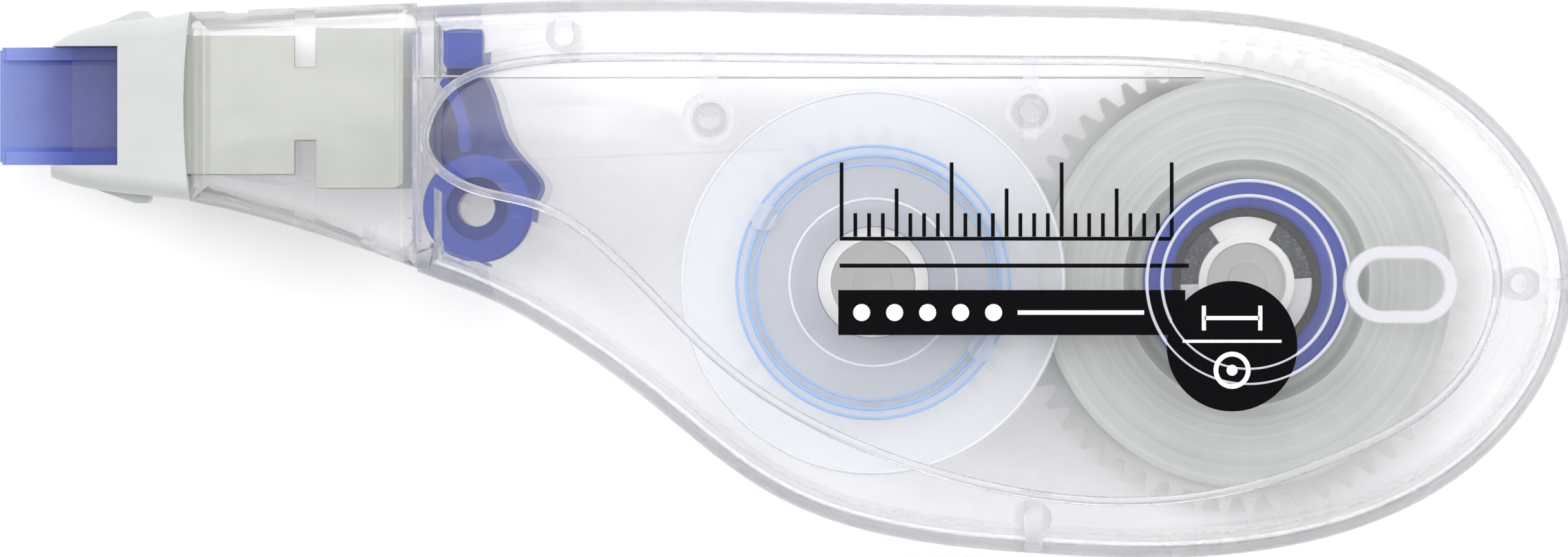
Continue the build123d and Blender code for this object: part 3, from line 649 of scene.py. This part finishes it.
def flat_ring(
    centre: Vector,
    radius: float,
    thick: float,
    low_z: float,
    name: str,
    finish: bpy.types.Material,
    body: Body,
) -> bpy.types.Object:
    """A low rounded ring that stands on a flat face.

    Args:
        centre: A point on its axis.
        radius: Its middle radius, in millimetres.
        thick: Half of its width, in millimetres.
        low_z: The height of the face, in metres.
        name: The piece's name.
        finish: Its material.
        body: The body that it rides on.

    Returns:
        The ring.
    """
    bpy.ops.object.select_all(action="DESELECT")
    bpy.ops.mesh.primitive_torus_add(
        location=(centre.x, centre.y, low_z),
        major_radius=radius * MM,
        minor_radius=thick * MM,
        major_segments=144,
        minor_segments=12,
    )
    ring = bpy.context.active_object
    bpy.ops.object.mode_set(mode="EDIT")
    bpy.ops.mesh.select_all(action="SELECT")
    bpy.ops.transform.resize(value=(1, 1, RING_FLATNESS), center_override=ring.location)
    cut = (centre.x, centre.y, low_z + RING_GAP)
    bpy.ops.mesh.bisect(plane_co=cut, plane_no=(0, 0, 1), clear_inner=True)
    bpy.ops.mesh.select_mode(type="EDGE")
    bpy.ops.mesh.select_all(action="DESELECT")
    bpy.ops.mesh.select_non_manifold()
    bpy.ops.mesh.bridge_edge_loops()
    bpy.ops.mesh.select_all(action="SELECT")
    bpy.ops.mesh.normals_make_consistent(inside=False)
    bpy.ops.object.mode_set(mode="OBJECT")
    bpy.ops.object.shade_smooth_by_angle(angle=math.radians(50))
    return settle(ring, name, finish, body)


# --- studio -----------------------------------------------------------------------
@dataclass
class Studio:
    """The pale floor, the soft lights and the camera."""

    distance: float = 0.9
    sensor: float = 0.036
    floor_size: float = 6.0
    floor_drop: float = 0.05 * MM
    floor_tone: Colour = (0.9, 0.9, 0.9, 1.0)
    floor_pale: Colour = (0.93, 0.93, 0.93, 1.0)
    floor_glow: float = 0.24
    sky_low: Colour = (0.45, 0.46, 0.5, 1.0)
    sky_high: Colour = (1.0, 1.0, 1.0, 1.0)
    sky_level: float = 0.55
    sky_strength: float = 0.6
    lamps: list[tuple[str, tuple[float, float, float], float, float]] = field(
        default_factory=lambda: [
            ("lamp_over", (0.0, 0.0, 1.7), 1.1, 1.6),
            ("lamp_left", (-0.8, 0.3, 0.7), 0.6, 3.0),
            ("lamp_right", (0.8, 0.1, 0.7), 0.6, 3.0),
            ("lamp_back", (0.1, 0.8, 0.6), 0.6, 3.0),
        ]
    )
    softbox_place: tuple[float, float, float] = (-0.285, 0.27, 1.6)
    softbox_size: tuple[float, float] = (0.33, 0.48)
    softbox_power: float = 1.1
    softbox_tone: tuple[float, float, float] = (1.0, 0.985, 0.94)

    def camera(self) -> None:
        """Stand the long-lens camera straight above the middle of the roller."""
        low, high = cad_box
        centre = (low + high) / 2
        lens = bpy.data.cameras.new("camera")
        lens.sensor_width = self.sensor * 1000
        lens.lens = lens.sensor_width * self.distance / (high.x - low.x)
        lens.clip_start = 0.05
        lens.clip_end = 20.0
        stand = bpy.data.objects.new("camera", lens)
        stand.location = (centre.x, centre.y, centre.z + self.distance)
        bpy.context.scene.collection.objects.link(stand)
        bpy.context.scene.camera = stand

    def floor(self) -> None:
        """Lay a plain pale floor under the roller."""
        bpy.ops.object.select_all(action="DESELECT")
        bpy.ops.mesh.primitive_plane_add(size=self.floor_size, location=(0, 0, -self.floor_drop))
        board = bpy.context.active_object
        board.name = "floor"
        bench = Bench("floor_paper")
        grain = bench.noise(0.6, 2.0)
        paper = bench.add(
            "ShaderNodeBsdfPrincipled",
            {},
            {
                "Base Color": bench.mix(grain, self.floor_tone, self.floor_pale),
                "Roughness": 0.9,
                "Specular IOR Level": 0.0,
                "Emission Color": (1.0, 1.0, 1.0, 1.0),
                "Emission Strength": self.floor_glow,
            },
        )
        board.data.materials.append(bench.close(paper))

    def light(self) -> None:
        """Hang the round lamps and the softbox that shines on the sloping neck."""
        centre = (cad_box[0] + cad_box[1]) / 2
        for name, place, size, power in self.lamps:
            lamp = bpy.data.lights.new(name, "AREA")
            lamp.shape = "DISK"
            lamp.size = size
            lamp.energy = power
            holder = bpy.data.objects.new(name, lamp)
            holder.location = place
            holder.rotation_mode = "QUATERNION"
            holder.rotation_quaternion = (Vector(place) - centre).to_track_quat("Z", "Y")
            bpy.context.scene.collection.objects.link(holder)
        box = bpy.data.lights.new("softbox_slope", "AREA")
        box.shape = "RECTANGLE"
        box.size, box.size_y = self.softbox_size
        box.energy = self.softbox_power
        box.color = self.softbox_tone
        holder = bpy.data.objects.new("softbox_slope", box)
        holder.location = self.softbox_place
        bpy.context.scene.collection.objects.link(holder)

    def surround(self) -> None:
        """Set the surround, grey below and white above."""
        world = bpy.data.worlds.new("surround")
        world.use_nodes = True
        bpy.context.scene.world = world
        tree = world.node_tree
        tree.nodes.clear()
        place = tree.nodes.new("ShaderNodeTexCoord")
        split = tree.nodes.new("ShaderNodeSeparateXYZ")
        ramp = tree.nodes.new("ShaderNodeValToRGB")
        stops = ramp.color_ramp.elements
        stops[0].position = 0.0
        stops[0].color = self.sky_low
        stops[1].position = self.sky_level
        stops[1].color = self.sky_high
        sky = tree.nodes.new("ShaderNodeBackground")
        sky.inputs["Strength"].default_value = self.sky_strength
        out = tree.nodes.new("ShaderNodeOutputWorld")
        tree.links.new(place.outputs["Generated"], split.inputs[0])
        tree.links.new(split.outputs["Z"], ramp.inputs[0])
        tree.links.new(ramp.outputs[0], sky.inputs["Color"])
        tree.links.new(sky.outputs[0], out.inputs["Surface"])

    def build(self) -> None:
        """Set up the whole studio."""
        bpy.context.scene.view_settings.view_transform = "Standard"
        self.camera()
        self.floor()
        self.light()
        self.surround()


# --- sub-assemblies ---------------------------------------------------------------
@dataclass
class SupplyReel:
    """The supply gear, clutch, core and roll."""

    axis: Vector = field(default_factory=lambda: middle("supply_roll"))

    def dress(self) -> None:
        """Finish each moulded piece of the reel."""
        roll = WoundFilm("roll_edges", tint(200, 203, 198), tint(174, 178, 174), self.axis)
        leader = WoundFilm("leader_edges", tint(160, 164, 158), tint(126, 131, 126), self.axis)
        core = SatinMoulding("core_blue", tint(20, 56, 168), tint(10, 42, 148), 0.48)
        gear = SatinMoulding("gear_white", tint(242, 242, 240), tint(232, 232, 229), 0.4)
        clutch = SpeckledPlate("clutch_grey", tint(46, 51, 56), tint(112, 118, 122))
        drag = SatinMoulding("drag_rubber", tint(34, 34, 38), tint(16, 16, 18), 0.7, 0.12, 0.01)
        dress("supply_roll", roll)
        dress("end_leader", leader)
        dress("supply_core", core)
        dress("supply_gear", gear)
        dress("clutch_plate", clutch)
        dress("drag_ring", drag)


@dataclass
class TakeupReel:
    """The take-up gear, drum, flange and wound liner."""

    axis: Vector = field(default_factory=lambda: middle("takeup_drum"))
    flange_rise: float = 2.3 * MM
    blue_rings: tuple[tuple[float, float], ...] = ((8.6, 0.09), (9.25, 0.12), (9.95, 0.1))
    white_rings: tuple[tuple[float, float], ...] = ((6.1, 0.1), (13.9, 0.12))

    def dress(self) -> None:
        """Finish each moulded piece of the reel."""
        gear = SatinMoulding("takeup_white", tint(243, 243, 243), tint(234, 234, 233), 0.4)
        drum = ClearTint("drum_blue", tint(150, 188, 240), tint(190, 212, 246), 0.3)
        flange = ClearTint("flange_milk", tint(226, 228, 232), tint(236, 237, 240), 0.66)
        liner = WoundFilm("liner_edges", tint(196, 216, 246), tint(160, 194, 238), self.axis)
        dress("takeup_gear", gear)
        dress("takeup_drum", drum)
        dress("takeup_flange", flange)
        self.rings()
        dress("wound_liner", liner)

    def rings(self) -> None:
        """Add the fine rings moulded on the flange, over the drum and round the hub."""
        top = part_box("takeup_flange")[0].z + self.flange_rise
        blue = ClearTint("flange_line", tint(132, 176, 236), tint(170, 202, 244), 0.15).make()
        white = ClearTint("flange_white", tint(236, 237, 242), tint(246, 246, 250), 0.2).make()
        for rings, finish in ((self.blue_rings, blue), (self.white_rings, white)):
            for radius, thick in rings:
                name = f"flange_ring_{round(radius * 10)}"
                flat_ring(self.axis, radius, thick, top, name, finish, Body.TAKEUP)


@dataclass
class TapePath:
    """The tape guide, return roller and the tape's own runs."""

    def dress(self) -> None:
        """Finish the guide, the roller and the tape."""
        guide = SatinMoulding("guide_blue", tint(22, 64, 170), tint(10, 46, 148), 0.48)
        roller = SatinMoulding("roller_blue", tint(22, 64, 170), tint(10, 46, 148), 0.48)
        coating = SatinMoulding("tape_coating", tint(240, 240, 238), tint(222, 222, 218), 0.6)
        liner = ClearTint("liner_film", tint(206, 200, 190), tint(226, 222, 214), 0.93)
        dress("tape_guide", guide)
        dress("return_roller", roller)
        dress("coated_tape", coating)
        dress("return_liner", liner)


@dataclass
class ApplicatorHead:
    """The collar, the carrier and the wedge tip."""

    # length of the front facet that is painted paler, as if lit
    lit_facet_length: float = 6 * MM

    def dress(self) -> None:
        """Finish the head's pieces."""
        edge_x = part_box("applicator_tip")[0].x
        tip = TipPlastic("tip_blue", edge_x, edge_x + self.lit_facet_length)
        collar = SatinMoulding("collar_grey", tint(214, 216, 215), tint(204, 207, 206), 0.38)
        carrier = SatinMoulding("carrier_grey", tint(188, 190, 183), tint(176, 179, 171), 0.4)
        dress("applicator_tip", tip)
        dress("head_collar", collar)
        dress("head_carrier", carrier)


@dataclass
class ClearCase:
    """The two case halves and the neck sleeve, with white rings on the front panel that are painted
    highlights of the ring rib's edges.
    """

    bead_centre: Vector = field(default_factory=lambda: Vector((0.0449, -0.0005, 0.0)))
    bead_half_length: float = 3.65
    bead_half_breadth: float = 2.35
    bead_half_width: float = 0.55
    panel_top: float = 14.6 * MM
    # radii of the white rings painted over the front panel as highlights of the ring rib's edges
    highlight_ring_radii: tuple[float, ...] = (6.3, 7.4)
    highlight_ring_thick: float = 0.13
    lip_radius: float = 0.34 * MM
    lip_flatness: float = 0.55
    lip_drop: float = 0.22 * MM
    # painted highlight: a whiter milk veil on the lip, on top of its real rounded edge
    lip_painted_highlight_veil: float = 0.12
    lip_angle: float = math.radians(40)
    lip_level: float = 0.02 * MM
    bead_reach: float = 6 * MM
    # how much painted highlight, with frost, whitens the ribs, the snap bosses and their pins
    rib_painted_highlight: float = 0.34
    boss_painted_highlight: float = 0.3
    pin_painted_highlight: float = 0.25
    # Middle x and y, then half x and half y, of each rib under the rim, in millimetres.
    ribs: tuple[tuple[float, float, float, float], ...] = (
        (-5.4, 15.3, 0.65, 3.5),
        (18.0, 13.6, 0.65, 3.5),
        (18.25, -17.9, 0.65, 1.8),
        (55.2, -0.4, 1.3, 0.4),
    )
    # Middle x and y of each snap boss, in millimetres.
    bosses: tuple[tuple[float, float], ...] = ((-5.4, 11.6), (18.0, 12.2))

    def bead_painted_highlight(self, bench: Bench) -> Wire:
        """A painted highlight mask over the stadium bead, the ribs and the snap bosses, which
        whitens them and also roughens them.

        Args:
            bench: The material's bench.

        Returns:
            1 on the bead, less on the ribs and bosses, and 0 elsewhere.
        """
        reach = bench.axis("X", self.bead_centre.x).math("ABSOLUTE") - (
            self.bead_half_length - self.bead_half_breadth
        )
        reach = reach.math("MAXIMUM", 0.0)
        side = bench.axis("Y", self.bead_centre.y)
        away = (reach * reach + side * side).math("SQRT")
        painted_highlight_frost = away.band(self.bead_half_breadth, self.bead_half_width - 0.1, 0.12)
        x, y = bench.axis("X"), bench.axis("Y")
        for middle_x, middle_y, half_x, half_y in self.ribs:
            rib = x.band(middle_x, half_x - 0.08, 0.1) * y.band(middle_y, half_y - 0.08, 0.1)
            painted_highlight_frost = painted_highlight_frost + rib * self.rib_painted_highlight
        for boss_x, boss_y in self.bosses:
            ring = bench.radius(Vector((boss_x * MM, boss_y * MM, 0.0)))
            boss = ring.band(1.65, 0.18, 0.12) * self.boss_painted_highlight
            pin = ring.band(0.75, 0.1, 0.1) * self.pin_painted_highlight
            painted_highlight_frost = painted_highlight_frost + boss + pin
        return painted_highlight_frost.clamp()

    def panel_lip(self, finish: bpy.types.Material) -> bpy.types.Object:
        """The softly rounded edge that runs round the front panel.

        Args:
            finish: Its material.

        Returns:
            The lip.
        """
        bpy.ops.object.select_all(action="DESELECT")
        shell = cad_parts["front_case"]
        copy = bpy.data.objects.new("panel_lip", shell.data.copy())
        bpy.context.scene.collection.objects.link(copy)
        alone(copy)
        bpy.ops.object.mode_set(mode="EDIT")
        bpy.ops.mesh.select_all(action="SELECT")
        bpy.ops.mesh.remove_doubles(threshold=0.002 * MM)
        bpy.ops.mesh.select_mode(type="EDGE")
        bpy.ops.mesh.select_all(action="DESELECT")
        shape = bmesh.from_edit_mesh(copy.data)
        for edge in shape.edges:
            edge.select = self.on_lip(edge)
        shape.select_flush_mode()
        bmesh.update_edit_mesh(copy.data)
        bpy.ops.mesh.select_all(action="INVERT")
        bpy.ops.mesh.delete(type="EDGE")
        bpy.ops.object.mode_set(mode="OBJECT")
        bpy.ops.object.convert(target="CURVE")
        line = bpy.context.active_object
        line.data.bevel_depth = self.lip_radius
        line.data.bevel_resolution = 2
        bpy.ops.object.convert(target="MESH")
        bpy.ops.object.mode_set(mode="EDIT")
        bpy.ops.mesh.select_all(action="SELECT")
        bpy.ops.mesh.normals_make_consistent(inside=False)
        rim = (0.0, 0.0, cad_box[1].z)
        bpy.ops.transform.resize(value=(1, 1, self.lip_flatness), center_override=rim)
        bpy.ops.transform.translate(value=(0, 0, -self.lip_drop))
        bpy.ops.object.mode_set(mode="OBJECT")
        bpy.ops.object.shade_smooth()
        return settle(bpy.context.active_object, "panel_lip", finish, Body.HOUSING)

    def on_lip(self, edge: bmesh.types.BMEdge) -> bool:
        """Whether an edge lies where the front panel meets its rim.

        Args:
            edge: An edge of the front case.

        Returns:
            True on the sharp line at the rim's level, away from the bead.
        """
        if len(edge.link_faces) != 2 or edge.calc_face_angle(0.0) < self.lip_angle:
            return False
        middle_point = (edge.verts[0].co + edge.verts[1].co) / 2
        top = middle_point.z > cad_box[1].z - self.lip_level
        near_bead = (middle_point.xy - self.bead_centre.xy).length < self.bead_reach
        return top and not near_bead

    def dress(self) -> None:
        """Finish the clear mouldings and add the painted highlight rings and the lip."""
        dress("rear_case", ClearMoulding("rear_clear"))
        dress("front_case", ClearMoulding("front_clear", self.bead_painted_highlight))
        dress("neck_sleeve", ClearMoulding("neck_clear"))
        # painted highlight: white rings that stand for the lines thrown by the ring rib's edges
        white = ClearTint("ring_painted_highlight", tint(226, 228, 240), tint(240, 241, 248), 0.25).make()
        centre = middle("supply_roll")
        for radius in self.highlight_ring_radii:
            name = f"panel_highlight_ring_{round(radius * 10)}"
            flat_ring(centre, radius, self.highlight_ring_thick, self.panel_top, name, white, Body.HOUSING)
        # the lip's refraction is real; its extra milk veil is a painted highlight line
        self.panel_lip(ClearMoulding("lip_clear", veil=self.lip_painted_highlight_veil).make())


@dataclass
class FrontPrint:
    """The plain printed marks on the front panel: a scale, a bar and a roundel."""

    base: float = 14.612 * MM
    film: float = 0.03 * MM
    bar_low: tuple[float, float] = (3.95, -4.14)
    bar_high: tuple[float, float] = (29.2, -0.86)
    disc_centre: tuple[float, float] = (32.6, -4.95)
    disc_radius: float = 4.75
    scale_left: float = 4.05
    scale_right: float = 28.35
    scale_foot: float = 2.73
    stroke: float = 0.28
    tick_count: int = 24
    long_tick: float = 5.7
    middle_tick: float = 3.8
    short_tick: float = 2.0
    rule_y: float = 0.76
    rule_end: float = 1.1
    dot_count: int = 5
    dot_pitch: float = 2.4

    def plate(
        self, low: tuple[float, float], high: tuple[float, float], lift: float = 0.0
    ) -> bpy.types.Object:
        """A thin printed rectangle.

        Args:
            low: Its lower left corner, in millimetres.
            high: Its upper right corner.
            lift: How far above the first film it lies, in metres.

        Returns:
            The plate, not yet settled.
        """
        bpy.ops.object.select_all(action="DESELECT")
        centre = ((low[0] + high[0]) / 2 * MM, (low[1] + high[1]) / 2 * MM, self.base + lift)
        bpy.ops.mesh.primitive_plane_add(size=1.0, location=centre)
        plate = bpy.context.active_object
        bpy.ops.object.mode_set(mode="EDIT")
        bpy.ops.mesh.select_all(action="SELECT")
        bpy.ops.transform.resize(
            value=((high[0] - low[0]) * MM, (high[1] - low[1]) * MM, 1), center_override=centre
        )
        bpy.ops.mesh.extrude_region_move(TRANSFORM_OT_translate={"value": (0, 0, self.film)})
        bpy.ops.mesh.select_all(action="SELECT")
        bpy.ops.mesh.normals_make_consistent(inside=False)
        bpy.ops.object.mode_set(mode="OBJECT")
        return plate

    def disc(
        self, centre: tuple[float, float], radius: float, hole: float, lift: float = 0.0
    ) -> bpy.types.Object:
        """A thin printed disc or ring.

        Args:
            centre: Its centre, in millimetres.
            radius: Its outer radius.
            hole: Its inner radius, or 0.
            lift: How far above the first film it lies, in metres.

        Returns:
            The disc, not yet settled.
        """
        bpy.ops.object.select_all(action="DESELECT")
        place = (centre[0] * MM, centre[1] * MM, self.base + lift)
        bpy.ops.mesh.primitive_circle_add(
            vertices=96, radius=radius * MM, fill_type="NGON", location=place
        )
        disc = bpy.context.active_object
        bpy.ops.object.mode_set(mode="EDIT")
        bpy.ops.mesh.select_all(action="SELECT")
        if hole:
            bpy.ops.mesh.inset(thickness=(radius - hole) * MM)
            bpy.ops.mesh.delete(type="FACE")
            bpy.ops.mesh.select_all(action="SELECT")
        bpy.ops.mesh.extrude_region_move(TRANSFORM_OT_translate={"value": (0, 0, self.film)})
        bpy.ops.mesh.select_all(action="SELECT")
        bpy.ops.mesh.normals_make_consistent(inside=False)
        bpy.ops.object.mode_set(mode="OBJECT")
        return disc

    def join(
        self, pieces: list[bpy.types.Object], name: str, finish: bpy.types.Material
    ) -> bpy.types.Object:
        """Join printed shapes into one piece of the front panel.

        Args:
            pieces: The shapes.
            name: The piece's name.
            finish: Its material.

        Returns:
            The joined piece.
        """
        bpy.ops.object.select_all(action="DESELECT")
        for piece in pieces:
            piece.select_set(True)
        bpy.context.view_layer.objects.active = pieces[0]
        bpy.ops.object.join()
        return settle(bpy.context.active_object, name, finish, Body.HOUSING)

    def scale(self) -> list[bpy.types.Object]:
        """The ruler scale: a foot line with short, middle and long ticks.

        Returns:
            Its lines, not yet joined.
        """
        foot = self.scale_foot
        marks = [self.plate((self.scale_left, foot), (self.scale_right, foot + self.stroke))]
        length = self.scale_right - self.scale_left - self.stroke
        for step in range(self.tick_count + 1):
            x = self.scale_left + length * step / self.tick_count
            tall = self.short_tick
            if step % 8 == 0:
                tall = self.long_tick
            elif step % 4 == 0:
                tall = self.middle_tick
            marks.append(self.plate((x, foot + self.stroke + 0.01), (x + self.stroke, foot + tall)))
        return marks

    def roundel_marks(self) -> list[bpy.types.Object]:
        """The width sign, the line and the dotted ring on the roundel.

        Returns:
            The marks, not yet joined.
        """
        x, y = self.disc_centre
        lift = self.film * 2.2
        return [
            self.plate((x - 3.6, y + 0.25), (x + 3.6, y + 0.47), lift),
            self.plate((x - 2.0, y + 1.9), (x + 2.0, y + 2.2), lift),
            self.plate((x - 2.2, y + 1.15), (x - 1.9, y + 2.95), lift),
            self.plate((x + 1.9, y + 1.15), (x + 2.2, y + 2.95), lift),
            self.disc((x, y - 1.75), 1.35, 1.0, lift),
            self.disc((x, y - 1.75), 0.4, 0.0, lift),
        ]

    def bar_marks(self) -> list[bpy.types.Object]:
        """The dots and the line on the bar.

        Returns:
            The marks, not yet joined.
        """
        lift = self.film * 1.2
        first_x = self.bar_low[0] + 1.7
        marks = [
            self.disc((first_x + self.dot_pitch * dot, -2.5), 0.62, 0.0, lift)
            for dot in range(self.dot_count)
        ]
        marks.append(self.plate((17.0, -2.66), (26.2, -2.34), lift))
        return marks

    def build(self) -> None:
        """Print the black marks, then the white ones on them."""
        black = PrintInk("ink_black", tint(10, 9, 12)).make()
        white = PrintInk("ink_white", tint(236, 236, 238)).make()
        rule_low = (self.scale_left, self.rule_y)
        rule_high = (self.scale_right + self.rule_end, self.rule_y + 0.3)
        self.join(self.scale(), "print_scale", black)
        self.join([self.plate(rule_low, rule_high)], "print_rule", black)
        self.join([self.plate(self.bar_low, self.bar_high)], "print_bar", black)
        roundel = self.disc(self.disc_centre, self.disc_radius, 0.0, self.film)
        self.join([roundel], "print_roundel", black)
        self.join(self.roundel_marks(), "print_roundel_marks", white)
        self.join(self.bar_marks(), "print_bar_marks", white)


def main() -> None:
    """Build the studio, dress each sub-assembly and add its fine pieces."""
    logging.basicConfig(level=logging.INFO, format="%(message)s")
    Studio().build()
    for part in (SupplyReel(), TakeupReel(), TapePath(), ApplicatorHead(), ClearCase()):
        part.dress()
    FrontPrint().build()


if __name__ == "__main__":
    main()
